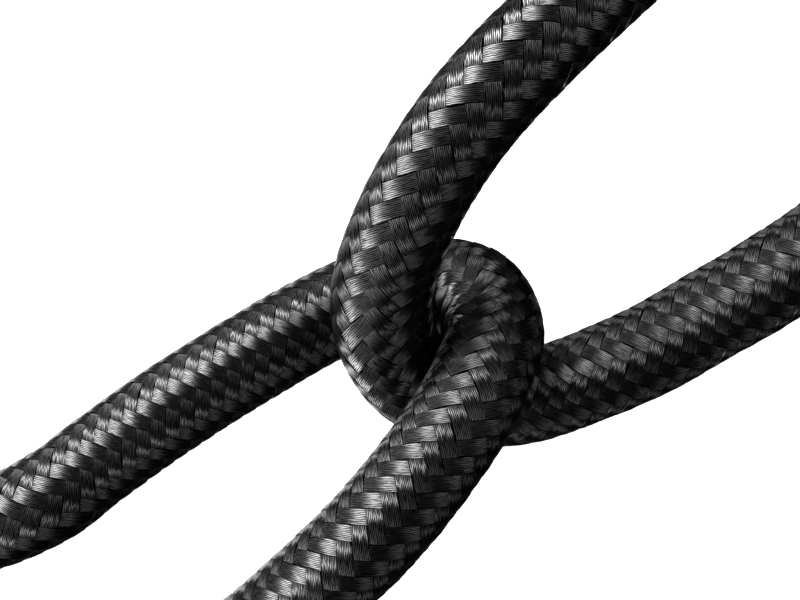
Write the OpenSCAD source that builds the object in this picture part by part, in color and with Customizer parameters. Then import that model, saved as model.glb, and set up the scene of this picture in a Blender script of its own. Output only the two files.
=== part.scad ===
// Charging cable: a braided cable with a reversible plug on each end.
// Two hooked bights of the cable clasp each other in the middle, and the
// rest of its length is wound into a coil that a hook-and-loop tie holds.
// Units are millimetres, +Z is up and z = 0 is the table. The origin lies
// midway between the two plugs.

/* [Cable] */
// Diameter over the braid
cable_d = 4.5; // [4.2:0.05:4.5]
// Diameter over the plastic jacket under the braid
jacket_d = 3.5; // [3:0.1:3.6]

/* [Plug] */
// Width of the metal sleeve
sleeve_w = 12; // [11.6:0.1:12.6]
// Thickness of the metal sleeve
sleeve_h = 6; // [6:0.1:6.2]
// Length of the metal sleeve
sleeve_l = 19; // [18:0.5:22]
// Wall thickness of the metal sleeve
sleeve_wall = 0.8; // [0.6:0.1:0.8]
// How far the nose collar stands out of the sleeve
collar_out = 0.35; // [0.2:0.05:0.6]
// Width of the plug shell
shell_w = 8.25; // [8.2:0.01:8.3]
// Thickness of the plug shell
shell_h = 2.4; // [2.38:0.01:2.44]
// How far the plug shell stands out of the nose collar
shell_out = 6.65; // [6.5:0.05:6.8]
// Sheet thickness of the plug shell
shell_wall = 0.3; // [0.2:0.05:0.3]
// Number of contacts in each row
contact_count = 12; // [2:2:12]
// Distance between neighbouring contacts
contact_pitch = 0.5; // [0.4:0.05:0.5]
// Length of the strain relief
boot_l = 10; // [9:0.5:14]
// Number of grooves round the strain relief
boot_grooves = 4; // [0:1:4]

/* [Layout] */
// Half of the distance between the plugs, along X
plug_x = 32; // [32:1:32]
// Half of the distance between the plugs, along Y
plug_y = 5; // [5:1:5]
// Centre of the coil
coil_centre = [58.5, 24.5];
// Radius of the outermost turn, at the middle of the cable
coil_r = 29.5; // [29:0.25:29.5]
// Whole turns in the coil, besides the two thirds of a turn from its entry to its exit
whole_turns = 4; // [4:1:4]
// Step between neighbouring turns
coil_pitch = 4.93; // [4.92:0.01:4.96]
// Step between the two layers
layer_step = 4.95; // [4.95:0.01:5]

/* [Tie] */
// Width of the tie
tie_w = 10; // [8:0.5:12]
// Thickness of the tie
tie_t = 0.9; // [0.7:0.1:1]
// Length of the tie's free tab
tab_l = 12; // [8:0.5:13]
// Opening angle of the tab
tab_angle = 0; // [0:5:120]

/* [Hidden] */
PLUGS = ["a", "b"];
PLUG_PIECES = ["sleeve", "nose_collar", "inner_mould", "plug_shell", "contact_housing",
    "upper_contacts", "lower_contacts", "latch_left", "latch_right", "ground_springs",
    "circuit_board", "marker_chip", "resistors", "power_wires", "signal_wires",
    "inner_jacket", "braid_end", "crimp_ferrule", "strain_relief"];
CABLE_PIECES = ["cable_near", "cable_far", "cable_coil", "tie_strap", "tie_tab"];
$fn = 48;

// Colours
braid_black = "#17171a";
anodised = "#3a3c40";
soft_black = "#1b1b1d";
steel = "#b9bcc0";
gold = "#d6ab4e";
board_green = "#1d5a3a";

// The cable's surface sits this far above the table where it lies flat
cable_z = cable_d / 2;
axis_z = sleeve_h / 2;
gap = 0.05;

// Plug, along its own axis: x = 0 is the front of the sleeve, +X points out of the shell
tip_x = collar_out + shell_out;
back_x = -sleeve_l;
exit_x = back_x - boot_l;
cavity_w = sleeve_w - 2 * sleeve_wall;
cavity_h = sleeve_h - 2 * sleeve_wall;
collar_back = -5;
shell_back = -8;
pocket_w = 8.6;
pocket_h = 3;
board_w = 8;
board_t = 0.8;
board_front = -8.1;
board_back = -15.5;
insulator_w = shell_w - 2 * shell_wall - 2 * gap;
insulator_h = shell_h - 2 * shell_wall - 2 * gap;
insulator_front = 6.5;
tongue_w = 6.2;
tongue_h = 0.8;
tongue_back = 0.6;
contact_w = 0.22;
contact_t = 0.18;
contact_z = tongue_h / 2;
contact_front = 4.6;
latch_y = 3.28;
latch_root_x = 0.2;
latch_l = 5.2;
latch_t = 0.2;
latch_h = 0.6;
leaf_w = 5;
leaf_l = 1.8;
leaf_t = 0.1;
leaf_front = insulator_front - 2 * gap;
leaf_back = leaf_front - leaf_l;
jacket_front = back_x + 1;
ferrule_back = back_x - 3;
ferrule_front = back_x - 0.5;
ferrule_d = cable_d + 0.4;
power_d = 0.9;
signal_d = 0.6;

// Ends of the two strain reliefs, where the braid comes out of the plugs.
// Both plugs point along -X, and their common box is centred on the origin.
plug_box = tip_x - exit_x;
front_x = tip_x - plug_box / 2;
exit_a = [-plug_x + plug_box / 2, plug_y, axis_z];
exit_b = [plug_x + plug_box / 2, -plug_y, axis_z];

// Route of the cable from plug A through the first bight to the hidden loop:
// up out of the plug, over the second bight, round, and back under it along the table.
NEAR = [exit_a, [-11.3, 5.1, 3.1], [-8.4, 6, 4.4], [-5.3, 8, 6.9], [-2.3, 10.6, 9.1],
    [0.5, 13.2, 10.1], [3.1, 15.8, 10.6], [5.3, 18.5, 10.3], [6.8, 20.6, 9.6], [7.7, 22.3, 8.5],
    [8.4, 23.9, 6.8], [7.9, 25.6, 4.9], [6.4, 26.3, 3.2], [3.8, 26.1, 2.4], [0.9, 25, 2.9],
    [-2.7, 23, 3.8], [-6.7, 20.5, 4], [-10.4, 17.9, 3.8], [-13.2, 15.8, 4], [-17, 14.4, 3.6],
    [-21.5, 14.2, 2.9], [-25.5, 15.7, 2.4], [-28.8, 18.7, 2.3], [-31, 23, 2.3],
    [-32, 27.5, 2.3]];

// Route from there round the outside, through the second bight and on to the coil:
// over the first bight, round, and out to the right under it.
FAR = [[-32, 27.5, 2.3], [-32, 32.5, 2.3], [-30.5, 38, 2.3], [-27, 43, 2.3], [-22, 47, 2.3],
    [-16, 50, 2.3], [-9, 52.3, 2.3], [-2, 53.8, 2.3], [5, 54.9, 2.5], [11, 54.9, 3.4],
    [16.4, 53.1, 5.1], [19.4, 49.5, 7.2], [18.2, 44.9, 9.2], [14.7, 41.1, 10.3],
    [12.9, 39.4, 10.6], [10.7, 37.3, 11], [8.5, 35.1, 11.3], [6.6, 32.9, 11.1],
    [5.1, 30.6, 10.6], [4, 28.5, 9.7], [3.3, 26.7, 8.6], [3.1, 24.6, 7.4], [3.8, 22.7, 5.9],
    [5.2, 21.3, 4.5], [7.5, 20.6, 3.4], [10.3, 20.8, 3.3], [13.5, 22, 4], [16.3, 23.3, 4.3],
    [18.6, 24.7, 4.6], [20.9, 26.1, 5.2], [24.6, 28.7, 6], [28, 32.2, 6.6]];

// Coil: it enters at the left on the upper layer, runs clockwise and inwards, drops to the
// lower layer where the spiral turns back, and leaves at the front towards plug B.
entry_angle = 150;
exit_angle = -90;
coil_turns = whole_turns + (entry_angle - exit_angle) / 360;
half_turns = coil_turns / 2;
inner_r = coil_r - coil_pitch * half_turns;
tie_angle = 0;
tie_lift = tie_t + 0.3;
function smooth(u) = let (v = min(1, max(0, u))) v * v * (3 - 2 * v);
function turn_angle(t) = entry_angle - 360 * t;
function turn_radius(t) = inner_r + coil_pitch * abs(t - half_turns);
function turn_lift(t) = tie_lift * pow(max(0, cos(turn_angle(t) - tie_angle)), 8);
function turn_z(t) = cable_z + layer_step * smooth((half_turns + 0.25 - t) * 2) + turn_lift(t);
function turn_point(t) = [
    coil_centre[0] + turn_radius(t) * cos(turn_angle(t)),
    coil_centre[1] + turn_radius(t) * sin(turn_angle(t)),
    turn_z(t)];
function heading(t) = [cos(turn_angle(t) - 90), sin(turn_angle(t) - 90), 0];
coil_steps = round(24 * coil_turns);
TURNS = [for (i = [0:coil_steps]) turn_point(coil_turns * i / coil_steps)];
coil_in = TURNS[0] - cable_d * heading(0);
coil_out = TURNS[coil_steps] + cable_d * heading(coil_turns);
COIL = concat([coil_in], TURNS, [coil_out, exit_b]);

// Least distance between turns of the coil that aren't neighbours along the cable
coil_reach = [for (i = [0:len(COIL) - 1]) for (j = [i + 10:len(COIL) - 1]) norm(COIL[i] - COIL[j])];
echo(coil_gap = min(coil_reach) - cable_d);

// Vectors
function unit(v) = v / norm(v);
function at(p, i) = p[min(len(p) - 1, max(0, i))];
function along(p, i) = unit(at(p, i + 1) - at(p, i - 1));

// A smooth curve through the points of a route, in n steps from each point to the next
function blend(a, b, c, d, t) =
    0.5 * (2 * b + (c - a) * t + (2 * a - 5 * b + 4 * c - d) * t * t + (3 * b - a - 3 * c + d) * t * t * t);
function curve(p, n) = concat(
    [for (i = [0:len(p) - 2]) for (k = [0:n - 1])
        blend(at(p, i - 1), p[i], p[i + 1], at(p, i + 2), k / n)],
    [p[len(p) - 1]]);

// Directions along a path, with the first and the last one given
function directions(p, first, last) =
    [for (i = [0:len(p) - 1]) i == 0 ? first : i == len(p) - 1 ? last : along(p, i)];

// Sideways vectors that turn with the path and don't twist about it
function carried(t, i, n) =
    i == len(t) ? [] : let (m = unit(n - (n * t[i]) * t[i])) concat([m], carried(t, i + 1, m));

// Solid tube of radius r along the path p
module tube(p, r, sides, first, last) {
    t = directions(p, first, last);
    n = carried(t, 0, unit(cross(first, [0, 0, 1])));
    rings = len(p);
    points = concat(
        [for (i = [0:rings - 1]) let (b = cross(t[i], n[i]))
            for (k = [0:sides - 1]) let (a = 360 * (k + 0.5) / sides)
                p[i] + r * (cos(a) * n[i] + sin(a) * b)],
        [p[0], p[rings - 1]]);
    walls = [for (i = [0:rings - 2]) for (k = [0:sides - 1])
        let (a = i * sides + k, b = i * sides + (k + 1) % sides)
            each [[a, a + sides, b], [b, a + sides, b + sides]]];
    near_end = [for (k = [0:sides - 1]) [rings * sides, k, (k + 1) % sides]];
    last_ring = (rings - 1) * sides;
    far_end = [for (k = [0:sides - 1])
        [rings * sides + 1, last_ring + (k + 1) % sides, last_ring + k]];
    polyhedron(points = points, faces = concat(walls, near_end, far_end), convexity = 20);
}

// Outline with half-round ends, w wide and h high
module stadium(w, h) {
    square([w - h, h], center = true);
    for (side = [-1, 1])
        translate([side * (w - h) / 2, 0]) circle(d = h);
}

// Bar with the stadium outline, from x0 to x1 along X
module stadium_bar(w, h, x0, x1) {
    translate([x0, 0, 0]) rotate([90, 0, 90]) linear_extrude(height = x1 - x0) stadium(w, h);
}

// Round bar from x0 to x1 along X
module rod(d, x0, x1) {
    translate([x0, 0, 0]) rotate([0, 90, 0]) cylinder(d = d, h = x1 - x0);
}

// Block from x0 to x1, w wide, from z0 to z1
module block(x0, x1, w, z0, z1) {
    translate([x0, -w / 2, z0]) cube([x1 - x0, w, z1 - z0]);
}

// Metal sleeve of the plug: a tube with a closed back, which the jacket passes through
module sleeve() {
    edge = 0.4;
    color(anodised) difference() {
        union() {
            stadium_bar(sleeve_w, sleeve_h, back_x + edge, -edge);
            stadium_bar(sleeve_w - edge, sleeve_h - edge, back_x, 0);
        }
        stadium_bar(cavity_w, cavity_h, back_x + sleeve_wall, 1);
        rod(jacket_d + 2 * gap, back_x - 1, 0);
    }
}

// Plastic collar that closes the front of the sleeve round the plug shell
module nose_collar() {
    color(soft_black) difference() {
        stadium_bar(cavity_w - 2 * gap, cavity_h - 2 * gap, collar_back, collar_out);
        stadium_bar(shell_w + gap, shell_h + gap, collar_back - 1, collar_out + 1);
    }
}

// Plastic carrier behind the collar, hollow round the circuit board
module inner_mould() {
    color("#2a2b2e") difference() {
        stadium_bar(cavity_w - 2 * gap, cavity_h - 2 * gap, back_x + sleeve_wall + gap, collar_back - gap);
        block(back_x + 2 * sleeve_wall, 0, pocket_w, -pocket_h / 2, pocket_h / 2);
        rod(jacket_d + 2 * gap, back_x, 0);
    }
}

// Drawn metal shell that goes into the device
module plug_shell() {
    color(steel) difference() {
        stadium_bar(shell_w, shell_h, shell_back, tip_x);
        stadium_bar(shell_w - 2 * shell_wall, shell_h - 2 * shell_wall, shell_back - 1, tip_x + 1);
    }
}

// Plastic insulator in the shell, with the cavity for the device's tongue
module contact_housing() {
    side_h = latch_h + 4 * gap;
    color("#101012") difference() {
        stadium_bar(insulator_w, insulator_h, shell_back + gap, insulator_front);
        block(tongue_back, tip_x, tongue_w, -tongue_h / 2, tongue_h / 2);
        for (side = [0, 1]) {
            mirror([0, side, 0]) translate([latch_root_x - 0.4, tongue_w / 2 - 0.1, -side_h / 2])
                cube([tip_x, 1.5, side_h]);
            mirror([0, 0, side]) {
                for (i = [0:contact_count - 1])
                    translate([0, contact_y(i), 0])
                        block(shell_back, contact_front + gap, contact_w + gap, contact_z - gap, 1);
                block(leaf_back - 2 * gap, tip_x, leaf_w + 2 * gap, insulator_h / 2 - leaf_t, 1);
            }
        }
    }
}

function contact_y(i) = contact_pitch * (i - (contact_count - 1) / 2);

// One row of contacts above the tongue cavity, each with a bump that meets the tongue
module contact_row() {
    color(gold) for (i = [0:contact_count - 1])
        translate([0, contact_y(i), 0]) {
            block(board_front + gap, contact_front, contact_w - gap, contact_z, contact_z + contact_t);
            block(contact_front - 0.7, contact_front - 0.1, contact_w - gap, contact_z - 0.12, contact_z);
        }
}

module upper_contacts() {
    contact_row();
}

module lower_contacts() {
    mirror([0, 0, 1]) contact_row();
}

// Spring arm beside the tongue cavity, with the hook that snaps over the tongue
module latch(side) {
    color(steel) translate([latch_root_x, side * latch_y, -latch_h / 2]) {
        cylinder(d = 0.3, h = latch_h);
        translate([0, -latch_t / 2, 0]) cube([latch_l, latch_t, latch_h]);
        translate([latch_l - 0.7, side > 0 ? -0.3 : 0, 0]) cube([0.5, 0.3, latch_h]);
    }
}

// Thin leaves on the insulator that earth the device's shell
module ground_springs() {
    leaf_z = insulator_h / 2 - leaf_t;
    color(steel) for (side = [0, 1])
        mirror([0, 0, side]) block(leaf_back, leaf_front, leaf_w, leaf_z, leaf_z + leaf_t + gap / 2);
}

module circuit_board() {
    color(board_green) block(board_back, board_front, board_w, -board_t / 2, board_t / 2);
}

module marker_chip() {
    color("#202022") block(-12.5, -10, 2.5, board_t / 2, board_t / 2 + 0.6);
}

module resistors() {
    color("#3a3026") for (y = [-2.8, 2.8])
        translate([0, y, 0]) block(-12, -11, 0.5, board_t / 2, board_t / 2 + 0.35);
}

// Two thick conductors on top of the board
module power_wires() {
    color("#b3261e") for (y = [-0.6, 0.6])
        translate([0, y, board_t / 2 + power_d / 2]) rod(power_d, jacket_front, -14);
}

// Three thin conductors under the board
module signal_wires() {
    color("#d9dcd6") for (y = [-0.8, 0, 0.8])
        translate([0, y, -board_t / 2 - signal_d / 2]) rod(signal_d, jacket_front, -14);
}

// End of the plastic jacket, through the strain relief and into the sleeve
module inner_jacket() {
    color("#26262a") rod(jacket_d, exit_x, jacket_front);
}

// End of the braid, inside the strain relief
module braid_end() {
    color(braid_black) difference() {
        rod(cable_d, exit_x, ferrule_front);
        rod(jacket_d, exit_x - 1, 0);
    }
}

// Metal ring crimped onto the braid
module crimp_ferrule() {
    color(steel) difference() {
        rod(ferrule_d, ferrule_back, ferrule_front);
        rod(cable_d, exit_x, 0);
    }
}

// Flexible strain relief, tapered towards the cable and grooved round
module strain_relief() {
    root_d = sleeve_h - 0.1;
    end_d = cable_d + 1;
    groove_d = cable_d + 0.5;
    groove_w = 0.6;
    lip = 1.2;
    groove_step = (boot_l - lip - 4) / max(1, boot_grooves);
    color(soft_black) difference() {
        translate([exit_x, 0, 0]) rotate([0, 90, 0])
            cylinder(d1 = end_d, d2 = root_d, h = boot_l);
        rod(cable_d, exit_x - 1, ferrule_front);
        rod(ferrule_d, ferrule_back, ferrule_front);
        rod(jacket_d, exit_x, 0);
        for (i = [0:1:boot_grooves - 1])
            translate([exit_x + lip + groove_step * (i + 0.5) - groove_w / 2, 0, 0]) difference() {
                rod(root_d + 1, 0, groove_w);
                rod(groove_d, -1, groove_w + 1);
            }
    }
}

// Strap round all the turns of the coil, in the plane through the coil's axis
tie_in_x = 15.1;
tie_out_x = 30.9;
tie_top = 2 * cable_z + layer_step + tie_lift + 0.3;
tie_mid_x = coil_centre[0] + (tie_in_x + tie_out_x) / 2;

module rounded_frame(w, h, r) {
    square([w - 2 * r, h], center = true);
    square([w, h - 2 * r], center = true);
    for (x = [-1, 1]) for (y = [-1, 1])
        translate([x * (w / 2 - r), y * (h / 2 - r)]) circle(r = r);
}

module tie_strap() {
    inside_w = tie_out_x - tie_in_x;
    inside_h = tie_top - tie_t;
    color("#242427") translate([tie_mid_x, coil_centre[1] + tie_w / 2, tie_t + inside_h / 2])
        rotate([90, 0, 0]) linear_extrude(height = tie_w) difference() {
            rounded_frame(inside_w + 2 * tie_t, inside_h + 2 * tie_t, 2 + tie_t);
            rounded_frame(inside_w, inside_h, 2);
        }
}

// Free end of the strap, which lies on it and peels up about its root
tab_x = tie_mid_x + 5.5;
tab_z = tie_top + tie_t + gap + tie_t / 2;

module tie_tab() {
    color("#2c2c30") translate([tab_x, coil_centre[1], tab_z]) rotate([0, tab_angle, 0]) {
        translate([0, tie_w / 2, 0]) rotate([90, 0, 0]) cylinder(d = tie_t, h = tie_w);
        block(-tab_l, 0, tie_w, -tie_t / 2, tie_t / 2);
    }
}

// Stretches of the cable
module cable_near() {
    color(braid_black) tube(curve(NEAR, 2), cable_d / 2, 12, [1, 0, 0], [0, 1, 0]);
}

module cable_far() {
    route = concat(FAR, [coil_in]);
    color(braid_black) tube(curve(route, 2), cable_d / 2, 12, [0, 1, 0], heading(0));
}

module cable_coil() {
    color(braid_black) tube(COIL, cable_d / 2, 6, heading(0), [-1, 0, 0]);
}

// Puts plug A or plug B in its place, pointing along -X
module placed(plug) {
    side = plug == "a" ? -1 : 1;
    translate([side * plug_x + front_x, -side * plug_y, axis_z]) rotate([0, 0, 180]) children();
}

cable_near();
cable_far();
cable_coil();
tie_strap();
tie_tab();
for (p = PLUGS) placed(p) {
    sleeve();
    nose_collar();
    inner_mould();
    plug_shell();
    contact_housing();
    upper_contacts();
    lower_contacts();
    latch(1);
    latch(-1);
    ground_springs();
    circuit_board();
    marker_chip();
    resistors();
    power_wires();
    signal_wires();
    inner_jacket();
    braid_end();
    crimp_ferrule();
    strain_relief();
}
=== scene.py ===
# %% [markdown]
# # A braided charging cable
# One metre of cable with a reversible plug on each end. Its cover is a braid: twelve flat
# strands of fine filament wind one way and twelve the other, and each goes over two and
# under two. The first cell loads the fixed frame, which is in metres. Routes and profiles are
# written in millimetres further down, because that is how such small parts are measured.

# %% Frame and sizes
import math
import bmesh
import bpy
import numpy as np
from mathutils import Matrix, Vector


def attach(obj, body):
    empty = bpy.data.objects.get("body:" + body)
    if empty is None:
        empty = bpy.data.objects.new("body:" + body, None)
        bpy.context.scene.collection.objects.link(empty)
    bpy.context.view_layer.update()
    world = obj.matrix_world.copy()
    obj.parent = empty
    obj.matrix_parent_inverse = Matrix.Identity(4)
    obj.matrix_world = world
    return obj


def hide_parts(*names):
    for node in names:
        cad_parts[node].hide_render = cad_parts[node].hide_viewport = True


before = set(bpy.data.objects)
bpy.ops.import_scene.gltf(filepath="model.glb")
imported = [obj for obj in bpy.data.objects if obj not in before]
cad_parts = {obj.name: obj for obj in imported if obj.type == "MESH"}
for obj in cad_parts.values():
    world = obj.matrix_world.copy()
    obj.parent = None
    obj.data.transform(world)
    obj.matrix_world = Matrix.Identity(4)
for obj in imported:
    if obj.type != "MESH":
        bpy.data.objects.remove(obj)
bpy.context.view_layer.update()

MM = 0.001
cable_d = 4.5 * MM
cable_r = cable_d / 2
exit_b = Vector((50, -5, 3)) * MM

# %% [markdown]
# The camera looks straight down on the clasp. A close-up like this one has strong
# perspective, so the lens and the height above the table matter as much as the framing:
# the strands on top must look a quarter wider than those on the table.

# %% Camera
clasp = Vector((4, 25.5, 0)) * MM
camera_height = 67 * MM
sensor_w = 36
picture_w = 800
focal_px = 1310
camera_data = bpy.data.cameras.new("camera")
camera_data.sensor_width = sensor_w
camera_data.lens = sensor_w * focal_px / picture_w
camera_data.clip_start = 0.001
camera = bpy.data.objects.new("camera", camera_data)
camera.location = clasp + Vector((0, 0, camera_height))
bpy.context.scene.collection.objects.link(camera)
bpy.context.scene.camera = camera
print("lens, mm:", camera_data.lens)

# %% [markdown]
# The cable's route is a short list of points, joined by a smooth curve. The first stretch
# leaves plug A, makes one bight and runs away to the left. The second comes back over the
# top, makes the other bight and leaves to the right for the coil. Bezier curves would do too,
# but a curve through the points themselves is easier to bend by hand.

# %% Routes
near_route = [(-14, 5, 3), (-11.3, 5.1, 3.1), (-8.4, 6, 4.4), (-5.3, 8, 6.9), (-2.3, 10.6, 9.1),
    (0.5, 13.2, 10.1), (3.1, 15.8, 10.6), (5.3, 18.5, 10.3), (6.8, 20.6, 9.6), (7.7, 22.3, 8.5),
    (8.4, 23.9, 6.8), (7.9, 25.6, 4.9), (6.4, 26.3, 3.2), (3.8, 26.1, 2.4), (0.9, 25, 2.9),
    (-2.7, 23, 3.8), (-6.7, 20.5, 4), (-10.4, 17.9, 3.8), (-13.2, 15.8, 4), (-17, 14.4, 3.6),
    (-21.5, 14.2, 2.9), (-25.5, 15.7, 2.4), (-28.8, 18.7, 2.3), (-31, 23, 2.3), (-32, 27.5, 2.3)]
far_route = [(-32, 27.5, 2.3), (-32, 32.5, 2.3), (-30.5, 38, 2.3), (-27, 43, 2.3), (-22, 47, 2.3),
    (-16, 50, 2.3), (-9, 52.3, 2.3), (-2, 53.8, 2.3), (5, 54.9, 2.5), (11, 54.9, 3.4),
    (16.4, 53.1, 5.1), (19.4, 49.5, 7.2), (18.2, 44.9, 9.2), (14.7, 41.1, 10.3), (12.9, 39.4, 10.6),
    (10.7, 37.3, 11), (8.5, 35.1, 11.3), (6.6, 32.9, 11.1), (5.1, 30.6, 10.6), (4, 28.5, 9.7),
    (3.3, 26.7, 8.6), (3.1, 24.6, 7.4), (3.8, 22.7, 5.9), (5.2, 21.3, 4.5), (7.5, 20.6, 3.4),
    (10.3, 20.8, 3.3), (13.5, 22, 4), (16.3, 23.3, 4.3), (18.6, 24.7, 4.6), (20.9, 26.1, 5.2),
    (24.6, 28.7, 6), (28, 32.2, 6.6)]


def curve(points, steps):
    """Smooth curve through the points, with the same number of steps between each two."""
    p = np.array([points[0], *points, points[-1]], float)
    t = np.arange(steps)[:, None] / steps
    parts = []
    for a, b, c, d in zip(p, p[1:], p[2:], p[3:]):
        parts.append(0.5 * (2 * b + (c - a) * t + (2 * a - 5 * b + 4 * c - d) * t ** 2
            + (3 * b - a - 3 * c + d) * t ** 3))
    return np.vstack([*parts, p[-1:]])


print("points on the routes:", len(near_route), "and", len(far_route))

# %% [markdown]
# The rest of the length is put away as a flat coil in two layers. It winds inwards on the
# upper layer, drops to the lower one where the spiral turns back, and winds out again. It
# rises a little where the tie passes under it. A coil drawn by hand never looks even, so a
# formula gives its points.

# %% Coil
coil_centre = (58.5, 24.5)
coil_r = 29.5
coil_turns = 4.6667
half_turns = coil_turns / 2
coil_pitch = 4.93
entry_angle = 150
layer_step = 4.95
drop_turns = 0.5
tie_lift = 1.2
lift_sharpness = 8


def heading(turn):
    """Direction of the cable after this many turns."""
    angle = math.radians(entry_angle - 360 * turn - 90)
    return np.array([math.cos(angle), math.sin(angle), 0])


def turn_points(steps_per_turn):
    """Points along the coil, in millimetres, from where it is entered to where it is left."""
    t = np.linspace(0, coil_turns, round(steps_per_turn * coil_turns) + 1)
    angle = np.radians(entry_angle - 360 * t)
    radius = coil_r + coil_pitch * (abs(t - half_turns) - half_turns)
    drop = np.clip((half_turns + drop_turns / 2 - t) / drop_turns, 0, 1)
    z = cable_r / MM + layer_step * drop ** 2 * (3 - 2 * drop)
    z = z + tie_lift * np.maximum(0, np.cos(angle)) ** lift_sharpness
    turns = np.stack([coil_centre[0] + radius * np.cos(angle),
        coil_centre[1] + radius * np.sin(angle), z], 1)
    straight = cable_d / MM
    out = turns[-1] + straight * heading(coil_turns)
    return np.vstack([turns[0] - straight * heading(0), turns, out, np.array(exit_b) / MM])


def along(path):
    """Length along a path at each of its points."""
    return np.concatenate([[0], np.cumsum(np.linalg.norm(np.diff(path, axis=0), axis=1))])


coil_path = turn_points(72)
near_path = curve(near_route, 12)
far_path = curve([*far_route, coil_path[0]], 12)
for name, path in [("near", near_path), ("far", far_path), ("coil", coil_path)]:
    print(name, "stretch, mm:", round(float(along(path)[-1]), 1))

# %% [markdown]
# Everything on the cable follows its middle line, so the three stretches are joined into one
# line with a station every third of a millimetre. Each station carries two directions across
# the line. They are handed on from station to station and never turn about the line, because
# directions worked out afresh at each bend would wring the braid.

# %% Middle line
station_step = 0.3


def stations(path):
    """Even stations along a path: length, place, tangent and two directions across it."""
    length = along(path)
    s = np.linspace(0, length[-1], round(length[-1] / station_step) + 1)
    place = np.stack([np.interp(s, length, path[:, k]) for k in range(3)], 1)
    tangent = np.gradient(place, s, axis=0)
    tangent /= np.linalg.norm(tangent, axis=1)[:, None]
    side = np.zeros_like(tangent)
    last = np.cross(tangent[0], (0, 0, 1))
    for i, t in enumerate(tangent):
        last = last - last.dot(t) * t
        last = last / np.linalg.norm(last)
        side[i] = last
    return s, place, tangent, side, np.cross(tangent, side)


near_end = along(near_path)[-1]
far_end = near_end + along(far_path)[-1]
whole_path = np.vstack([near_path, far_path[1:], coil_path[1:]])
line_s, line_place, line_tangent, line_side, line_up = stations(whole_path)
cable_length = line_s[-1]
print("stations:", len(line_s), " cable, mm:", round(float(cable_length), 1))

# %% [markdown]
# A soft cable that is bent sharply is squeezed on the inner side of the bend, and its cover
# bulges there. The bulge grows with the square of the curvature, so only the tight bights show
# it. A simulation would give the same shape for far more work.

# %% Squeeze in tight bends
smoothing = 7
inner_bulge = 7.5


def smooth_curvature():
    """Towards the inside of each bend, one over its radius long, averaged over two millimetres."""
    bend = np.gradient(line_tangent, line_s, axis=0)
    near = np.ones(smoothing) / smoothing
    return np.stack([np.convolve(bend[:, k], near, "same") for k in range(3)], 1)


def on_line(values, s):
    """What the line has at these lengths, from its values at the stations."""
    return np.stack([np.interp(s, line_s, values[:, k]) for k in range(3)], -1)


def on_cable(s, angle, radius):
    """Points at these lengths along the cable, angles round it and distances from its middle."""
    inside = np.clip(s, 0, cable_length)
    beyond = (s - inside)[..., None] * on_line(line_tangent, inside)
    turn = angle[..., None]
    across = np.cos(turn) * on_line(line_side, inside) + np.sin(turn) * on_line(line_up, inside)
    inwards = np.maximum(0, (across * on_line(curvature, inside)).sum(-1, keepdims=True))
    bulged = radius[..., None] + inner_bulge * inwards ** 2
    return on_line(line_place, inside) + beyond + bulged * across


curvature = smooth_curvature()
tightest = 1 / np.linalg.norm(curvature, axis=1).max()
print("tightest bend, mm:", round(float(tightest), 1))

# %% [markdown]
# Under the braid runs a plain tube, one for each stretch of the cable. It is what shows as
# black between the strands.

# %% Tube under the braid
core_r = 2.02
core_sides = 20
cord_sharp = math.radians(35)


def add_piece(name, mesh, sharp):
    """Object of this mesh, shaded smooth except at edges that turn by more than sharp."""
    mesh.shade_smooth()
    mesh.set_sharp_from_angle(angle=sharp)
    piece = bpy.data.objects.new(name, mesh)
    bpy.context.scene.collection.objects.link(piece)
    return piece


def from_points(name, points, faces):
    """Piece of these points, in millimetres, and faces."""
    mesh = bpy.data.meshes.new(name)
    mesh.from_pydata((points * MM).tolist(), [], faces)
    return add_piece(name, mesh, cord_sharp)


def core(name, start, end):
    """Closed tube along the cable between two lengths."""
    rings = round((end - start) / (2 * station_step)) + 1
    s, angle = np.meshgrid(np.linspace(start, end, rings),
        np.linspace(0, 2 * math.pi, core_sides, endpoint=False), indexing="ij")
    points = on_cable(s, angle, np.full(s.shape, core_r)).reshape(-1, 3)
    faces = []
    for i in range(rings - 1):
        for k in range(core_sides):
            a = i * core_sides + k
            b = i * core_sides + (k + 1) % core_sides
            faces.append((a, b, b + core_sides, a + core_sides))
    faces.append(tuple(range(core_sides))[::-1])
    faces.append(tuple(range(len(points) - core_sides, len(points))))
    print(name, "rings:", rings)
    return from_points(name, points, faces)


near_core = core("near_core", 0, near_end)
far_core = core("far_core", near_end, far_end)
coil_core = core("coil_core", far_end, cable_length)

# %% [markdown]
# The braid itself: twelve strands wind one way and twelve the other, and each passes over
# two and under two. Places on the braid are counted in rows along the cable and columns round
# it. Rows are closer where the cable was pushed together and wider where it was pulled, and the
# columns turn a little about the cable, as they do on any cable that has been handled. The
# first list gives lengths in millimetres with the row there, and the second gives lengths with
# the turn of the columns in degrees.

# %% Rows and columns
strands = 12
lay_r = 2.2
row_counts = [(0, 0), (22.5, 27), (31.6, 38), (33.9, 40), (37, 43), (47.4, 56), (50.2, 60),
    (55.8, 67), (57.5, 69), (174.4, 192), (186.8, 204), (189, 206), (192.2, 209), (201.3, 218),
    (204.7, 222), (207.6, 225)]
twists = [(0, 8), (23.3, 10), (25, 12), (28.3, 13.3), (30, 14.5), (31.6, 13), (33, 8), (37, 8),
    (47.4, 24), (48.7, 28), (50.2, 29.4), (58, 29.4), (173, 53), (180, 53), (182, 56), (184, 57),
    (186.5, 53), (188.5, 48.5), (192.7, 51.6), (201.4, 67.5), (203, 73), (207, 74)]
coil_row = 0.95
last_length, last_row = row_counts[-1]
past_end = cable_length + 5
row_counts.append((past_end, last_row + (past_end - last_length) / coil_row))


def at_row(row):
    """Length along the cable at a row."""
    lengths, rows = np.array(row_counts).T
    return np.interp(row, rows, lengths)


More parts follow.
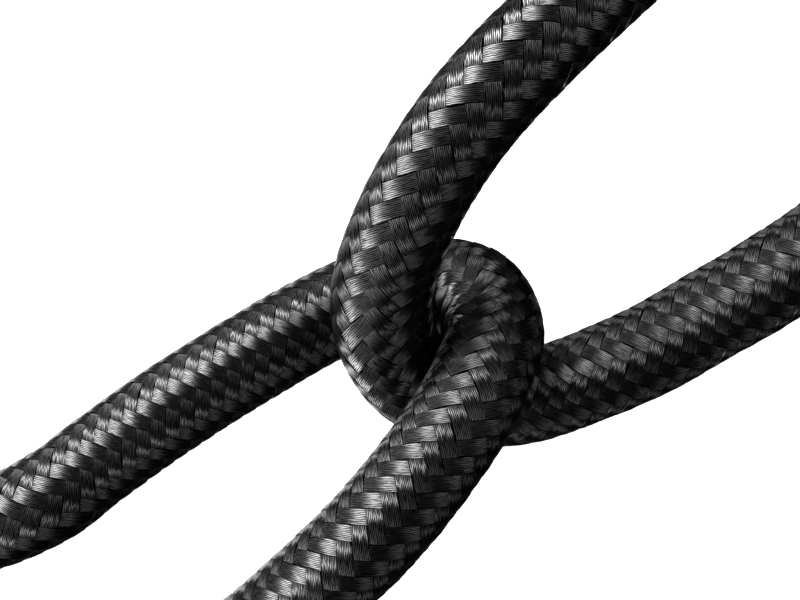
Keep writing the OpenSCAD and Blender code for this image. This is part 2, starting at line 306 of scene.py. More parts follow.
def at_length(s):
    """Row at a length along the cable."""
    lengths, rows = np.array(row_counts).T
    return np.interp(s, lengths, rows)


def on_braid(row, column, radius):
    """Points at these rows, columns and distances from the cable's middle."""
    s = at_row(row)
    angle = column * 2 * math.pi / strands + np.radians(np.interp(s, *np.array(twists).T))
    return on_cable(s, angle, radius)


column_step = 2 * math.pi * lay_r / strands
print("rows:", round(float(at_length(cable_length))), " column, mm:", round(column_step, 3))

# %% [markdown]
# Only the stretches of a strand that lie on top can be seen, so each of those, which weavers
# call a float, is one small closed pillow. It is almost flat on top, has steep sides, and its
# ends dive under the strands that cross it. Whole strands that pass over and under each other
# would need three times the faces, and most of them would never be seen.

# %% Top of a strand
crown_r = cable_r / MM - 0.005
fall_to_end = 0.045
fall_to_side = 0.012
top_ends = 1.01
top_sides = 0.98
steep_drop = 0.1


def strand_top(u, v):
    """Distance of a strand's top from the cable's middle, u steps along and v across."""
    dive = fall_to_end * u ** 2 + steep_drop * (abs(u) > top_ends)
    edge = fall_to_side * v ** 2 + steep_drop * (abs(v) > top_sides)
    return crown_r - dive - edge


print("strand's middle and end, mm:", round(strand_top(0, 0), 3), round(strand_top(1, 0), 3))

# %% [markdown]
# One step along a strand is one crossing, which is half a row and half a column, so a pillow is
# two steps long. The pillows of one direction stand in columns along the cable, and the columns
# of the two directions take turns round it. Small random differences in width, place and height
# keep the braid from looking stamped. Two maps go with the pillows for the material: the place
# on the strand in millimetres, and how far along its float a point lies, which places the
# painted highlight on each float.

# %% Pillows
filling = 0.965
width_spread = 0.012
height_spread = 0.008
lowest_r = core_r - 0.03
highest_r = crown_r + 0.005
strand_w = 0.72
crossing = 0.75
map_spread = 10
float_reach = 0.4


def pillow_faces(u_count, v_count):
    """Faces of a pillow's top, and the one face that closes it underneath."""
    grid = np.arange(u_count * v_count).reshape(u_count, v_count)
    top = np.stack([grid[:-1, :-1], grid[:-1, 1:], grid[1:, 1:], grid[1:, :-1]], -1).reshape(-1, 4)
    rim = [*grid[:-1, 0], *grid[-1, :-1], *grid[:0:-1, -1], *grid[0, :0:-1]]
    return top, np.array([rim])


def pillows(places, steps, rng):
    """Points, faces and the two maps of the pillows at these rows and columns."""
    row, column = (value[:, None, None] for value in places.T)
    odd = column % 2
    way = 1 - 2 * odd
    u, v = (grid[None] for grid in np.meshgrid(*map(np.array, steps), indexing="ij"))
    count = (len(places), 1, 1)
    across = v * filling * rng.normal(1, width_spread, count) + rng.normal(0, width_spread, count)
    lift = rng.normal(0, height_spread, count)
    rows = row + 0.5 * odd + way * 0.5 * u - 0.25 * across
    columns = column + 0.5 * u + way * 0.25 * across
    radius = np.clip(strand_top(u, v) + lift, lowest_r, highest_r)
    points = on_braid(rows, columns, radius).reshape(-1, 3)
    on_strand = np.stack([across * strand_w / 2 + map_spread * rng.random(count),
        u * crossing + map_spread * rng.random(count)], -1).reshape(-1, 2)
    # how far along its float a point lies, which places the painted highlight
    forward = 0.5 + float_reach * way * u
    on_float = np.stack([forward, np.broadcast_to(odd, forward.shape)], -1).reshape(-1, 2)
    top, rim = pillow_faces(*map(len, steps))
    start = np.arange(len(places))[:, None, None] * (len(steps[0]) * len(steps[1]))
    faces = (start + top).reshape(-1, 4).tolist() + (start + rim).reshape(-1, rim.shape[1]).tolist()
    return points, faces, on_strand, on_float


print("gap between strands, mm:", round(strand_w * (1 - filling), 3))

# %% [markdown]
# Pillows near the clasp are seen from very close and get a finer grid than the others. The coil's
# braid is cut into four pieces, so that none of them grows too large.

# %% Braid
fine_steps = ([-1.05, -1, -0.5, 0, 0.5, 1, 1.05], [-1, -0.96, 0, 0.96, 1])
plain_steps = ([-1.05, -1, 0, 1, 1.05], [-1, -0.96, 0.96, 1])
close_up = np.array([21.0, 16.5])
coil_pieces = 4


def add_map(piece, name, values):
    """UV map with these values at the vertices."""
    uv = piece.data.uv_layers.new(name=name)
    corner = np.zeros(len(piece.data.loops), int)
    piece.data.loops.foreach_get("vertex_index", corner)
    uv.data.foreach_set("uv", values[corner].ravel())


def braid(name, start, end, seed):
    """The strands' visible stretches between two lengths, as one piece."""
    rng = np.random.default_rng(seed)
    rows = np.arange(math.ceil(at_length(start)), math.ceil(at_length(end)))
    places = np.array([(row, column) for row in rows for column in range(strands)])
    middle = on_braid(places[:, 0], places[:, 1], np.zeros(len(places)))
    near_camera = (abs(middle[:, :2] - np.array(clasp.xy) / MM) < close_up).all(1)
    points, faces, on_strand, on_float = [], [], [], []
    done = 0
    for chosen, steps in [(near_camera, fine_steps), (~near_camera, plain_steps)]:
        if chosen.any():
            p, f, q, r = pillows(places[chosen], steps, rng)
            points.append(p)
            on_strand.append(q)
            on_float.append(r)
            faces += [[done + i for i in face] for face in f]
            done += len(p)
    piece = from_points(name, np.vstack(points), faces)
    add_map(piece, "strand", np.vstack(on_strand))
    add_map(piece, "float", np.vstack(on_float))
    print(name, "pillows:", len(places), "close up:", int(near_camera.sum()))
    return piece


near_braid = braid("near_braid", 0, near_end, 1)
far_braid = braid("far_braid", near_end, far_end, 2)
coil_cuts = np.linspace(far_end, cable_length, coil_pieces + 1)
coil_braid = []
for k in range(coil_pieces):
    coil_braid.append(braid(f"coil_braid_{k + 1}", coil_cuts[k], coil_cuts[k + 1], 3 + k))

# %% [markdown]
# The three tubes take the place of the cable's three nodes in the frame, which are hidden, and
# the tubes and the braid all go on the cable's body. The braid goes with the tube under it. The
# strap of the tie joins that body too, once the tie is made.

# %% Cords
tubes = {"cable_near": near_core, "cable_far": far_core, "cable_coil": coil_core}
braids = [near_braid, far_braid, *coil_braid]
for node, piece in tubes.items():
    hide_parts(node)
for piece in [*tubes.values(), *braids]:
    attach(piece, "cable")


# %% [markdown]
# The plugs, the strain reliefs and the tie are all skins drawn through a row of outlines. One
# helper makes such a skin: it extrudes each outline from the one before, and at the end it
# either joins the last to the first or closes both ends. Extruding keeps the faces in even
# rows, which a boolean or a remesh would not.

# %% Skins
skin_sharp = math.radians(40)


def put(verts, order, points):
    """Move the vertices to these points, in millimetres."""
    for v in verts:
        v.co = Vector(points[v[order]]) * MM


def skin(name, rings, closed):
    """Piece through these rings of points, in millimetres."""
    bm = bmesh.new()
    order = bm.verts.layers.int.new("order")
    verts = bmesh.ops.create_circle(bm, segments=len(rings[0]), radius=1)["verts"]
    for k, v in enumerate(verts):
        v[order] = k
    first = edges = list(bm.edges)
    put(verts, order, rings[0])
    for ring in rings[1:]:
        made = bmesh.ops.extrude_edge_only(bm, edges=edges)["geom"]
        edges = [g for g in made if isinstance(g, bmesh.types.BMEdge)]
        put([g for g in made if isinstance(g, bmesh.types.BMVert)], order, ring)
    if closed:
        bmesh.ops.bridge_loops(bm, edges=first + edges)
    else:
        bmesh.ops.edgeloop_fill(bm, edges=first)
        bmesh.ops.edgeloop_fill(bm, edges=edges)
    bmesh.ops.recalc_face_normals(bm, faces=bm.faces)
    mesh = bpy.data.meshes.new(name)
    bm.to_mesh(mesh)
    bm.free()
    return add_piece(name, mesh, skin_sharp)


# %% [markdown]
# No real edge is perfectly sharp, and a rounded one catches a line of light. Corners are rounded
# beforehand, in the profile, each with its own radius. A bevel on the finished mesh would round
# them all alike.

# %% Rounded corners
corner_steps = 4
most_of_edge = 0.45


def soften(profile, radii):
    """Closed profile with its corners rounded. A point is (x, width, height)."""
    p = np.array(profile, float) * (1, 0.5, 0.5)
    soft = []
    for before, corner, after, radius in zip(np.roll(p, 1, axis=0), p, np.roll(p, -1, axis=0), radii):
        ends = []
        for way in (before - corner, after - corner):
            reach = min(radius, most_of_edge * np.linalg.norm(way))
            ends.append(corner + way / np.linalg.norm(way) * reach)
        for t in np.linspace(0, 1, corner_steps + 1):
            soft.append((1 - t) ** 2 * ends[0] + 2 * t * (1 - t) * corner + t ** 2 * ends[1])
    return np.array(soft) * (1, 2, 2)


print("rings on a rounded corner:", corner_steps + 1)

# %% [markdown]
# A plug is drawn along its own axis, with x = 0 at the front of the sleeve. The outlines of the
# sleeve, the collar and the shell have half-round ends; those of the strain relief are circles,
# with grooves that let it bend. The smallest corners are those of the steel shell, which is
# drawn from thin sheet.

# %% Plug profiles
relief_back = -29
relief_front = -19
relief_tip_d = 5.5
relief_root_d = 5.9
groove_d = 5
groove_half = 0.3
grooves = (-27.2, -26, -24.8, -23.6)
braid_bore = 4.52
ferrule_bore = 4.92
jacket_bore = 3.54
cone = (relief_root_d - relief_tip_d) / (relief_front - relief_back)


def relief_profile():
    """Cone with four rounded grooves, and the bore for the braid and its ferrule."""
    circles = [(relief_back, relief_tip_d)]
    for x in grooves:
        edge = relief_tip_d + cone * (x - relief_back)
        circles += [(x - groove_half, edge), (x - groove_half, groove_d),
            (x + groove_half, groove_d), (x + groove_half, edge)]
    circles += [(relief_front, relief_root_d), (relief_front, jacket_bore), (-19.5, jacket_bore),
        (-19.5, ferrule_bore), (-22, ferrule_bore), (-22, braid_bore), (relief_back, braid_bore)]
    return [(x, diameter, diameter) for x, diameter in circles]


relief = relief_profile()
profiles = {
    "sleeve": ("sleeve_metal", [(-19, 12, 6), (0, 12, 6), (0, 10.4, 4.4), (-18.2, 10.4, 4.4),
        (-18.2, 3.6, 3.6), (-19, 3.6, 3.6)], [0.6, 0.5, 0.2, 0.3, 0.3, 0.2]),
    "nose_collar": ("collar_plastic", [(-5, 10.3, 4.3), (0.35, 10.3, 4.3), (0.35, 8.3, 2.45),
        (-5, 8.3, 2.45)], [0.2, 0.25, 0.12, 0.2]),
    "plug_shell": ("shell_steel", [(-8, 8.25, 2.4), (7, 8.25, 2.4), (7, 7.65, 1.8), (-8, 7.65, 1.8)],
        [0.1, 0.16, 0.12, 0.1]),
    "strain_relief": ("boot", relief, [0.35] + [0.14] * (len(relief) - 2) + [0.2])}
print("profiles:", len(profiles), " corners of the strain relief:", len(relief))

# %% [markdown]
# Both plugs are the same piece work, so one loop makes them. A ring of points goes round the
# plug at each point of a profile, and the skin joins the rings.

# %% Plugs
plug_middle = {"a": (-43, 5, 3), "b": (21, -5, 3)}
outline_points = 64
turns = 2 * math.pi * (np.arange(outline_points) + 0.5) / outline_points


def outline(plug, x, width, height):
    """Ring of points with half-round ends, at x along a plug."""
    across = height / 2 * np.cos(turns) + np.sign(np.cos(turns)) * (width - height) / 2
    up = height / 2 * np.sin(turns)
    cx, cy, cz = plug_middle[plug]
    return np.stack([np.full(outline_points, cx - x), cy - across, cz + up], 1)


def plug_piece(node, plug, profile, radii):
    """Skin of one outer part of a plug, in place of its node."""
    rings = [outline(plug, *point) for point in soften(profile, radii)]
    piece = skin(f"{node}_skin_{plug}", rings, closed=True)
    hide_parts(f"{node}_{plug}")
    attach(piece, "cable")
    return piece


plug_pieces = {}
for plug in plug_middle:
    for node, (slot, profile, radii) in profiles.items():
        plug_pieces[slot, plug] = plug_piece(node, plug, profile, radii)
print("plug pieces:", len(plug_pieces))

# %% [markdown]
# The tie is a hook-and-loop strap round all the turns of the coil. Its edges are woven flat and
# the pile between them stands a little higher, so a section with that step is carried round the
# coil. A solidified sheet would have no such step.

# %% Strap section
strap_w = 10
pile_t = 0.9
edge_w = 0.7
edge_t = 0.62
edge_round = 0.12
pile_slope = 0.15
pile_points = 7


def strap_section(width):
    """Half-widths and heights round a section: flat woven edges, higher pile between them."""
    half = width / 2
    rim = min(edge_w, 0.3 * half)
    pile = half - rim - pile_slope
    left = [(-half, edge_t / 2 - edge_round), (-half + edge_round, edge_t / 2),
        (-half + rim, edge_t / 2), (-pile, pile_t / 2)]
    middle = [(y, pile_t / 2) for y in np.linspace(-pile, pile, pile_points + 2)[1:-1]]
    top = left + middle + [(-y, h) for y, h in left[::-1]]
    return np.array(top + [(y, -h) for y, h in top[::-1]])


def strap_ring(x, z, lean, width, thinness=1):
    """Section of the strap across (x, z), with its outer side turned by lean about Y."""
    section = strap_section(width) * (1, thinness)
    return np.stack([x + section[:, 1] * math.sin(lean), coil_centre[1] + section[:, 0],
        z + section[:, 1] * math.cos(lean)], 1)


print("points round the strap:", len(strap_section(strap_w)))

# %% [markdown]
# The strap is wrapped round all the turns at once, so its middle runs round a box with round
# corners. It is a closed ring here, because its overlap is hidden under the tab.

# %% Strap
strap_x = 81.5
strap_z = 5.925
corner_x = 5.9
corner_z = 3.025
corner_r = 2.45
ring_step = 1.2


def strap_path():
    """Middle of the strap round its rounded frame: x, z and lean."""
    path = []
    for k, (way_x, way_z) in enumerate([(1, 1), (1, -1), (-1, -1), (-1, 1)]):
        for lean in np.radians(np.linspace(k * 90, k * 90 + 90, 9)):
            path.append((strap_x + way_x * corner_x + corner_r * math.sin(lean),
                strap_z + way_z * corner_z + corner_r * math.cos(lean), lean))
    full = []
    for (x, z, lean), (x2, z2, _) in zip(path, path[1:] + path[:1]):
        full.append((x, z, lean))
        steps = int(math.hypot(x2 - x, z2 - z) / ring_step)
        full += [(x + (x2 - x) * k / steps, z + (z2 - z) * k / steps, lean) for k in range(1, steps)]
    return full


strap_rings = [strap_ring(x, z, lean, strap_w) for x, z, lean in strap_path()]
strap = skin("strap_pile", strap_rings, closed=True)
print("strap rings:", len(strap_rings))

# %% [markdown]
# The free end of the strap is a tab that lies on top and can be peeled up, so it is a piece of
# its own on a body of its own. Its corners are round, which narrower sections towards the end
# give it, and its root is rounded too, so that it turns on the strap without a gap. With it the
# tie is whole.

# %% Tab
tab_root = 87.0
tab_z = 12.35
tab_l = 12
tab_corner = 2
tab_steps = 30
root_reach = 0.45


def tab_rings():
    """Sections of the tab, from its thin root to its rounded end."""
    rings = []
    for lean in np.radians([75, 50, 25]):
        x = tab_root + root_reach * math.sin(lean)
        rings.append(strap_ring(x, tab_z, 0, strap_w, math.cos(lean)))
    for k in range(tab_steps + 1):
        back = tab_l * k / tab_steps
        into_corner = max(0, back - (tab_l - tab_corner)) / tab_corner
        width = strap_w - 2 * tab_corner * (1 - math.sqrt(max(0, 1 - into_corner ** 2)))
        rings.append(strap_ring(tab_root - back, tab_z, 0, width))
    return rings


tab_sections = tab_rings()
tab = skin("tab_pile", tab_sections, closed=False)
for piece, node, body in [(strap, "tie_strap", "cable"), (tab, "tie_tab", "tie_tab")]:
    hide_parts(node)
    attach(piece, body)
print("tab rings:", len(tab_sections))

# %% [markdown]
# Materials are built from nodes. One helper adds a node, with its settings as attributes and its
# inputs as constants or as links from other nodes, so that each material below reads as a
# list of what goes into what.

# %% Node helpers
def add_node(tree, kind, inputs, **settings):
    """Node of this kind, with its settings, and with its inputs set or linked."""
    node = tree.nodes.new("ShaderNode" + kind)
    for name, value in settings.items():
        setattr(node, name, value)
    for socket, value in inputs.items():
        if isinstance(value, bpy.types.NodeSocket):
            tree.links.new(value, node.inputs[socket])
        else:
            node.inputs[socket].default_value = value
    return node


def map_range(tree, value, low, high, out_low=0.0, out_high=1.0):
    """Value stretched from one range to another."""
    return add_node(tree, "MapRange", {"Value": value, "From Min": low, "From Max": high,
        "To Min": out_low, "To Max": out_high}).outputs["Result"]


def mix_colours(tree, share, first, second, **settings):
    """Colour between two colours, or blended from them in another way."""
    return add_node(tree, "Mix", {0: share, 6: first, 7: second}, data_type="RGBA",
        **settings).outputs[2]


def shader_group(name, inputs, outputs):
    """Empty node group with these sockets: its tree, what comes in and what goes out."""
    tree = bpy.data.node_groups.new(name, "ShaderNodeTree")
    for socket, kind in inputs.items():
        tree.interface.new_socket(name=socket, in_out="INPUT", socket_type="NodeSocket" + kind)
    for socket in outputs:
        tree.interface.new_socket(name=socket, in_out="OUTPUT", socket_type="NodeSocketFloat")
    return tree, tree.nodes.new("NodeGroupInput").outputs, tree.nodes.new("NodeGroupOutput").inputs


def new_material(name):
    """Material, its tree of nodes and its shader."""
    material = bpy.data.materials.new(name)
    material.use_nodes = True
    return material, material.node_tree, material.node_tree.nodes["Principled BSDF"]


def wear(material, *pieces):
    """Give this material to the pieces."""
    for piece in pieces:
        piece.data.materials.append(material)


# %% [markdown]
# A strand is a flat bundle of fine black filaments side by side. Each filament catches the
# light as a thin line, so the strand is covered with dark and bright streaks along it; here the
# bright streaks are painted glints in the colour, and the same pattern gives the bump. Two
# patterns are mixed: noise that is drawn out along the strand, and even lines. Both wander a
# little sideways, as filaments do. The group also gives a shift that differs from filament to
# filament, which frays the ends of the painted highlights on the floats. Real filaments as hair
# would be far too many.

# %% Filaments
wander_scale = 6
wander_reach = (0.06, 0, 0)
drawn_out = (1, 0.13, 1)
lines_scale = 4.2
share_of_lines = 0.33
fewer_on_steep = -0.04
streak_range = (0.39, 0.57)
fray_scale = (22, 0.9, 1)
fray_range = (-0.2, 0.2)


def filament_group():
    """Streaks along a strand: height, mask of the painted glints, and shift of the painted
    highlights.
    """
    tree, start, end = shader_group("filaments", {"Place": "Vector", "Per mm": "Float",
        "Steep": "Float"}, ["Height", "Painted glint", "Shift"])
    wander = add_node(tree, "TexNoise", {"Vector": start["Place"], "Scale": wander_scale,
        "Detail": 1})
    bend = add_node(tree, "VectorMath", {0: wander.outputs["Color"], 1: wander_reach,
        2: start["Place"]}, operation="MULTIPLY_ADD").outputs[0]
    longer = add_node(tree, "VectorMath", {0: bend, 1: drawn_out}, operation="MULTIPLY")
    fine = add_node(tree, "TexNoise", {"Vector": longer.outputs[0], "Scale": start["Per mm"],
        "Detail": 1})
    lines = add_node(tree, "TexWave", {"Vector": bend, "Scale": lines_scale},
        bands_direction="X")
    height = add_node(tree, "Mix", {0: share_of_lines, 2: fine.outputs["Fac"],
        3: lines.outputs["Fac"]}).outputs[0]
    tree.links.new(height, end["Height"])
    fewer = add_node(tree, "Math", {0: start["Steep"], 1: fewer_on_steep, 2: height},
        operation="MULTIPLY_ADD").outputs[0]
    # mask of the painted glints on the filaments
    tree.links.new(map_range(tree, fewer, *streak_range), end["Painted glint"])
    frayed = add_node(tree, "VectorMath", {0: bend, 1: fray_scale}, operation="MULTIPLY")
    ragged = add_node(tree, "TexNoise", {"Vector": frayed.outputs[0], "Scale": 1, "Detail": 1})
    tree.links.new(map_range(tree, ragged.outputs["Fac"], 0, 1, *fray_range), end["Shift"])
    return tree


filaments = filament_group()
print("nodes in the filaments:", len(filaments.nodes))

# %% [markdown]
# A float is arched, so its filaments turn from one end to the other and only part of each
# float shines. The pillows are too flat to show that, because filaments lie far closer than
# a mesh can follow. A ramp along the float paints that highlight into the colour instead, the
# same on every float wherever it lies. The floats of the two directions lie differently to the
# light, so each has a painted highlight of its own: a short bright band on steep floats, and
# most of the front half on flat ones.

# %% Painted highlight along a float
flat_painted_highlight = [(0.1, 0.2), (0.18, 0.1), (0.38, 0.1), (0.5, 0.18), (0.58, 0.4), (0.66, 0.8),
    (0.74, 1), (0.82, 0.95), (0.9, 0.5)]
steep_painted_highlight = [(0.1, 0.5), (0.26, 0.28), (0.42, 0.12), (0.55, 0.1), (0.62, 0.4), (0.68, 1.3),
    (0.73, 1.3), (0.8, 0.45), (0.9, 0.2)]


def painted_highlight_ramp(tree, place, stops):
    """Painted highlight along a float, from its back end at 0.1 to its front end at 0.9."""
    ramp = add_node(tree, "ValToRGB", {"Fac": place})
    elements = ramp.color_ramp.elements
    while len(elements) < len(stops):
        elements.new(0.5)
    for element, (at, shine) in zip(elements, stops):
        element.position = at
        element.color = (shine, shine, shine, 1)
    return ramp.outputs["Color"]


print("stops on the ramps:", len(flat_painted_highlight), "and", len(steep_painted_highlight))

# %% [markdown]
# The filaments are glossy black plastic, but a metal shader suits them better than a plastic
# one: a bundle of them sends back no light of its own colour, only gloss. The gloss is stretched
# across the strand, along the first direction of the strand's own map. A metal turns white
# where it is seen at a slant, which would wash out the streaks at the cable's sides, so the
# tint of its edge is kept dark. The colour carries the painted glints of the filaments and the
# painted highlight of each float over the black. The tube underneath is dull black.

# %% Braid material
filaments_per_mm = 20
filament_height = 0.02 * MM
dark_filament = (0.004, 0.004, 0.004, 1)
painted_filament_glint = (0.3, 0.3, 0.305, 1)


def braid_material():
    """Filaments with painted glints, and a painted highlight along each float."""
    material, tree, shader = new_material("braid")
    on_strand = add_node(tree, "UVMap", {}, uv_map="strand").outputs["UV"]
    on_float = add_node(tree, "UVMap", {}, uv_map="float").outputs["UV"]
    along_float, steep, _ = add_node(tree, "SeparateXYZ", {0: on_float}).outputs
    streaks = add_node(tree, "Group", {"Place": on_strand, "Per mm": filaments_per_mm,
        "Steep": steep}, node_tree=filaments).outputs
    # painted glints: the bright filament lines over the black are put into the colour
    colour = mix_colours(tree, streaks["Painted glint"], dark_filament, painted_filament_glint)
    ragged = add_node(tree, "Math", {0: along_float, 1: streaks["Shift"]}).outputs[0]
    # painted highlight along each float, with one ramp for flat floats and one for steep ones
    shine = mix_colours(tree, steep, painted_highlight_ramp(tree, ragged, flat_painted_highlight),
        painted_highlight_ramp(tree, ragged, steep_painted_highlight))
    shown = mix_colours(tree, 1, colour, shine, blend_type="MULTIPLY")
    tree.links.new(shown, shader.inputs["Base Color"])
    bump = add_node(tree, "Bump", {"Strength": 0.7, "Distance": filament_height,
        "Height": streaks["Height"]})
    tree.links.new(bump.outputs["Normal"], shader.inputs["Normal"])
    gloss_way = add_node(tree, "Tangent", {}, direction_type="UV_MAP", uv_map="strand")
    tree.links.new(gloss_way.outputs["Tangent"], shader.inputs["Tangent"])
    shader.inputs["Metallic"].default_value = 1
    shader.inputs["Roughness"].default_value = 0.42
    shader.inputs["Anisotropic"].default_value = 0.4
    shader.inputs["Specular Tint"].default_value = (0.35, 0.35, 0.35, 1)
    return material


core_finish, _, core_shader = new_material("under_braid")
core_shader.inputs["Base Color"].default_value = (0.002, 0.002, 0.002, 1)
core_shader.inputs["Roughness"].default_value = 0.9
wear(braid_material(), *braids)
wear(core_finish, *tubes.values())
print("pieces of the cable dressed:", len(braids) + len(tubes))

# %% [markdown]
# Every other surface is moulded, drawn or brushed. It has a fine grain for its bump, and slow
# patches that vary its colour and gloss. The grain of drawn metal is stretched along the plug.
# The tie is another matter: its pile is a felt of small loops of yarn, and cells for the loops
# with noise for the yarn give that look. Its colour is darker where the yarn lies low between the
# loops, which is painted shade.

# %% Grain and pile
def in_mm(tree, place):
    """Place in millimetres."""
    return add_node(tree, "VectorMath", {0: place, "Scale": 1 / MM}, operation="SCALE").outputs[0]


def grain_group():
    """Fine grain for a bump, and slow patches for colour and gloss."""
    tree, start, end = shader_group("grain", {"Stretch": "Vector", "Per mm": "Float"},
        ["Height", "Tone and painted shade"])
    place = add_node(tree, "TexCoord", {}).outputs["Object"]
    stretched = add_node(tree, "VectorMath", {0: place, 1: start["Stretch"]}, operation="MULTIPLY")
    spot = in_mm(tree, stretched.outputs[0])
    fine = add_node(tree, "TexNoise", {"Vector": spot, "Scale": start["Per mm"],
        "Detail": 3}).outputs["Fac"]
    slow = add_node(tree, "TexNoise", {"Vector": spot, "Scale": 0.6, "Detail": 4}).outputs["Fac"]
    both = add_node(tree, "Math", {0: fine, 1: 0.5, 2: slow}, operation="MULTIPLY_ADD")
    tree.links.new(fine, end["Height"])
    tree.links.new(map_range(tree, both.outputs[0], 0.55, 0.95), end["Tone and painted shade"])
    return tree


def pile_group():
    """Little loops of yarn: their height, and a mask from it that darkens the low yarn between the
    loops as painted shade.
    """
    tree, start, end = shader_group("pile", {"Stretch": "Vector", "Per mm": "Float"},
        ["Height", "Tone and painted shade"])
    spot = in_mm(tree, add_node(tree, "TexCoord", {}).outputs["Object"])
    loops = add_node(tree, "TexVoronoi", {"Vector": spot, "Scale": start["Per mm"]})
    yarn = add_node(tree, "TexNoise", {"Vector": spot, "Scale": 34, "Detail": 3})
    height = add_node(tree, "Math", {0: yarn.outputs["Fac"], 1: loops.outputs["Distance"]},
        operation="SUBTRACT").outputs[0]
    tree.links.new(height, end["Height"])
    # painted shade: the lower the yarn between the loops, the darker its colour
    tree.links.new(map_range(tree, height, -0.1, 0.4), end["Tone and painted shade"])
    return tree


grain = grain_group()
pile = pile_group()
print("nodes in grain and pile:", len(grain.nodes), "and", len(pile.nodes))

# %% [markdown]
# One function makes all these finishes from one table, because they differ only in their
# numbers: the pattern, the two colours, the range of roughness, the grains for each millimetre,
# the height of the bump in micrometres, the stretch of the grain and the shader's settings.

# %% Finishes
even = (1, 1, 1)
along_plug = (0.04, 1, 1)
metal = {"Metallic": 1}
drawn = {"Metallic": 1, "Anisotropic": 0.5}
fuzzy = {"Sheen Weight": 0.12, "Sheen Roughness": 0.5}
finishes = {
    "sleeve_metal": (grain, (0.075, 0.077, 0.082), (0.09, 0.092, 0.098), (0.34, 0.39), 22, 6,
        even, metal),
    "collar_plastic": (grain, (0.008, 0.008, 0.009), (0.014, 0.014, 0.015), (0.42, 0.55), 14, 5),
    "mould_plastic": (grain, (0.018, 0.018, 0.02), (0.028, 0.028, 0.03), (0.45, 0.6), 8, 8),
    "shell_steel": (grain, (0.5, 0.5, 0.51), (0.66, 0.66, 0.66), (0.16, 0.3), 26, 2,
        along_plug, drawn),
    "insulator": (grain, (0.006, 0.006, 0.006), (0.02, 0.02, 0.019), (0.4, 0.6), 30, 3),
    "contact_gold": (grain, (0.75, 0.48, 0.16), (0.93, 0.66, 0.28), (0.14, 0.28), 30, 1,
        along_plug, metal),
    "spring_steel": (grain, (0.42, 0.42, 0.43), (0.6, 0.6, 0.6), (0.2, 0.35), 30, 1.5,
        along_plug, metal),
    "board": (grain, (0.006, 0.045, 0.02), (0.012, 0.08, 0.035), (0.22, 0.4), 6, 6),
    "chip": (grain, (0.01, 0.01, 0.011), (0.026, 0.026, 0.027), (0.5, 0.7), 24, 6),
    "resistor": (grain, (0.03, 0.02, 0.012), (0.1, 0.09, 0.075), (0.35, 0.5), 9, 4),
    "power_wire": (grain, (0.3, 0.012, 0.01), (0.42, 0.02, 0.015), (0.35, 0.5), 7, 5),
    "signal_wire": (grain, (0.6, 0.6, 0.57), (0.75, 0.75, 0.72), (0.35, 0.5), 7, 5),
    "jacket": (grain, (0.014, 0.014, 0.015), (0.03, 0.03, 0.031), (0.5, 0.65), 9, 7),
    "ferrule": (grain, (0.36, 0.36, 0.37), (0.55, 0.55, 0.55), (0.25, 0.42), 18, 4, even, metal),
    "boot": (grain, (0.009, 0.009, 0.01), (0.018, 0.018, 0.019), (0.5, 0.66), 16, 8),
    "tie": (pile, (0.001, 0.001, 0.001), (0.045, 0.045, 0.047), (0.75, 0.95), 6, 180,
        even, fuzzy),
    "braid": (pile, (0.004, 0.004, 0.004), (0.04, 0.04, 0.041), (0.45, 0.6), 3, 40)}


def finish(name, pattern, dark, light, gloss, per_mm, bump, stretch=even, settings=None):
    """Material between two colours and two roughnesses, with a bump of this many micrometres."""
    material, tree, shader = new_material(name)
    surface = add_node(tree, "Group", {"Stretch": stretch, "Per mm": per_mm},
        node_tree=pattern).outputs
    colour = mix_colours(tree, surface["Tone and painted shade"], (*dark, 1), (*light, 1))
    tree.links.new(colour, shader.inputs["Base Color"])
    rough = map_range(tree, surface["Tone and painted shade"], 0, 1, *gloss)
    tree.links.new(rough, shader.inputs["Roughness"])
    relief = add_node(tree, "Bump", {"Distance": bump * MM / 1000, "Height": surface["Height"]})
    tree.links.new(relief.outputs["Normal"], shader.inputs["Normal"])
    for socket, value in (settings or {}).items():
        shader.inputs[socket].default_value = value
    return material


made = {name: finish(name + "_finish", *values) for name, values in finishes.items()}
print("finishes:", len(made))

# %% [markdown]
# The new pieces wear the finish of their slot. The pieces inside the plugs keep the shape that
# they have in the frame, and each gets its finish here in place of the plain colour it came with.

# %% Dressing
inner_nodes = {"mould_plastic": ["inner_mould"], "insulator": ["contact_housing"],
    "contact_gold": ["upper_contacts", "lower_contacts"],
    "spring_steel": ["latch_left", "latch_right", "ground_springs"], "board": ["circuit_board"],
    "chip": ["marker_chip"], "resistor": ["resistors"], "power_wire": ["power_wires"],
    "signal_wire": ["signal_wires"], "jacket": ["inner_jacket"], "braid": ["braid_end"],
    "ferrule": ["crimp_ferrule"]}
for (slot, plug), piece in plug_pieces.items():
    wear(made[slot], piece)
wear(made["tie"], strap, tab)
dressed = 0
for finish_name, nodes in inner_nodes.items():
    for solid in [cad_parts[f"{node}_{plug}"] for node in nodes for plug in plug_middle]:
        solid.data.materials.clear()
        wear(made[finish_name], solid)
        dressed += 1
print("inner solids dressed:", dressed)

# %% [markdown]
# The floor is a plain white sheet that glows by itself, so it stays white right up to the cable
# and takes no shadow. It doesn't show in the filaments' gloss, which keeps the right side of
# the cable black, and it lets light from below pass.

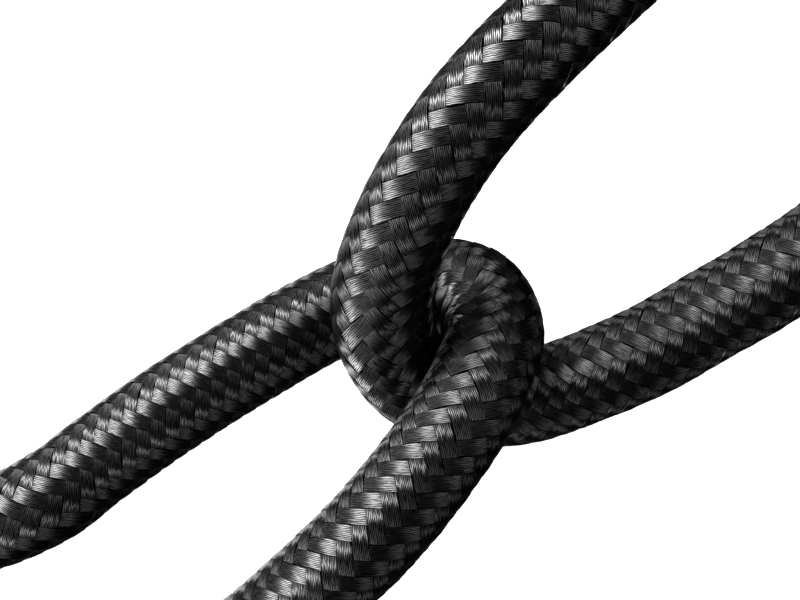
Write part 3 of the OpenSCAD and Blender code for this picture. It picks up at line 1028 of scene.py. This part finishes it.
# %% Floor
floor_size = 3
bpy.ops.mesh.primitive_plane_add(size=floor_size)
floor = bpy.context.object
floor.name = "floor"
floor_finish, _, floor_shader = new_material("floor")
floor_shader.inputs["Base Color"].default_value = (0.9, 0.9, 0.9, 1)
floor_shader.inputs["Emission Color"].default_value = (1, 1, 1, 1)
floor_shader.inputs["Emission Strength"].default_value = 1
wear(floor_finish, floor)
floor.visible_glossy = False
floor.visible_diffuse = False
floor.visible_shadow = False
bpy.context.scene.view_settings.view_transform = "Standard"
print("floor, m:", floor_size)

# %% [markdown]
# Glossy black filaments show nothing but reflections, so the light is a ring of soft boxes that
# each fill in one side of the strands. Most stand at the left and low enough to graze the
# strands, which makes the left side of every stretch shine and leaves the right side black. Two
# faint ones open up the far end and the right side a little. The last four stand below the level
# of the table, as under a glass one: only the steepest parts of the cable's sides face them, so
# they draw the thin bright line along the left outlines. The surroundings add a little light
# from everywhere. Each box has an azimuth, an elevation and a power in watts.

# %% Lights
box_size = 0.3
box_distance = 0.4
boxes = {"left": (195, 20, 1), "side": (225, 20, 0.9), "upper": (110, 20, 1.2),
    "top": (150, 45, 1), "level": (140, 4, 0.8), "far": (80, 12, 0.3), "right": (30, 40, 0.35),
    "low": (150, -22, 0.9), "below": (225, -22, 2), "rim": (150, -45, 0.9),
    "under": (185, -62, 1.6)}


def softbox(name, azimuth, elevation, power):
    """Square area light that looks at the clasp from an azimuth and an elevation."""
    light = bpy.data.lights.new(name, "AREA")
    light.energy = power
    light.size = box_size
    lamp = bpy.data.objects.new(name, light)
    a = math.radians(azimuth)
    e = math.radians(elevation)
    way = Vector((math.cos(a) * math.cos(e), math.sin(a) * math.cos(e), math.sin(e)))
    lamp.location = clasp + way * box_distance
    lamp.rotation_euler = way.to_track_quat("Z", "Y").to_euler()
    bpy.context.scene.collection.objects.link(lamp)


def surroundings(glow):
    """Faint even light from everywhere, which the camera sees as white."""
    world = bpy.data.worlds.new("surroundings")
    bpy.context.scene.world = world
    world.use_nodes = True
    tree = world.node_tree
    seen = add_node(tree, "LightPath", {}).outputs["Is Camera Ray"]
    background = tree.nodes["Background"]
    background.inputs["Color"].default_value = (1, 1, 1, 1)
    tree.links.new(map_range(tree, seen, 0, 1, glow, 1), background.inputs["Strength"])


for name, (azimuth, elevation, power) in boxes.items():
    softbox(name, azimuth, elevation, power)
surroundings(0.11)
print("soft boxes:", len(boxes), " watts in all:", round(sum(box[2] for box in boxes.values()), 2))
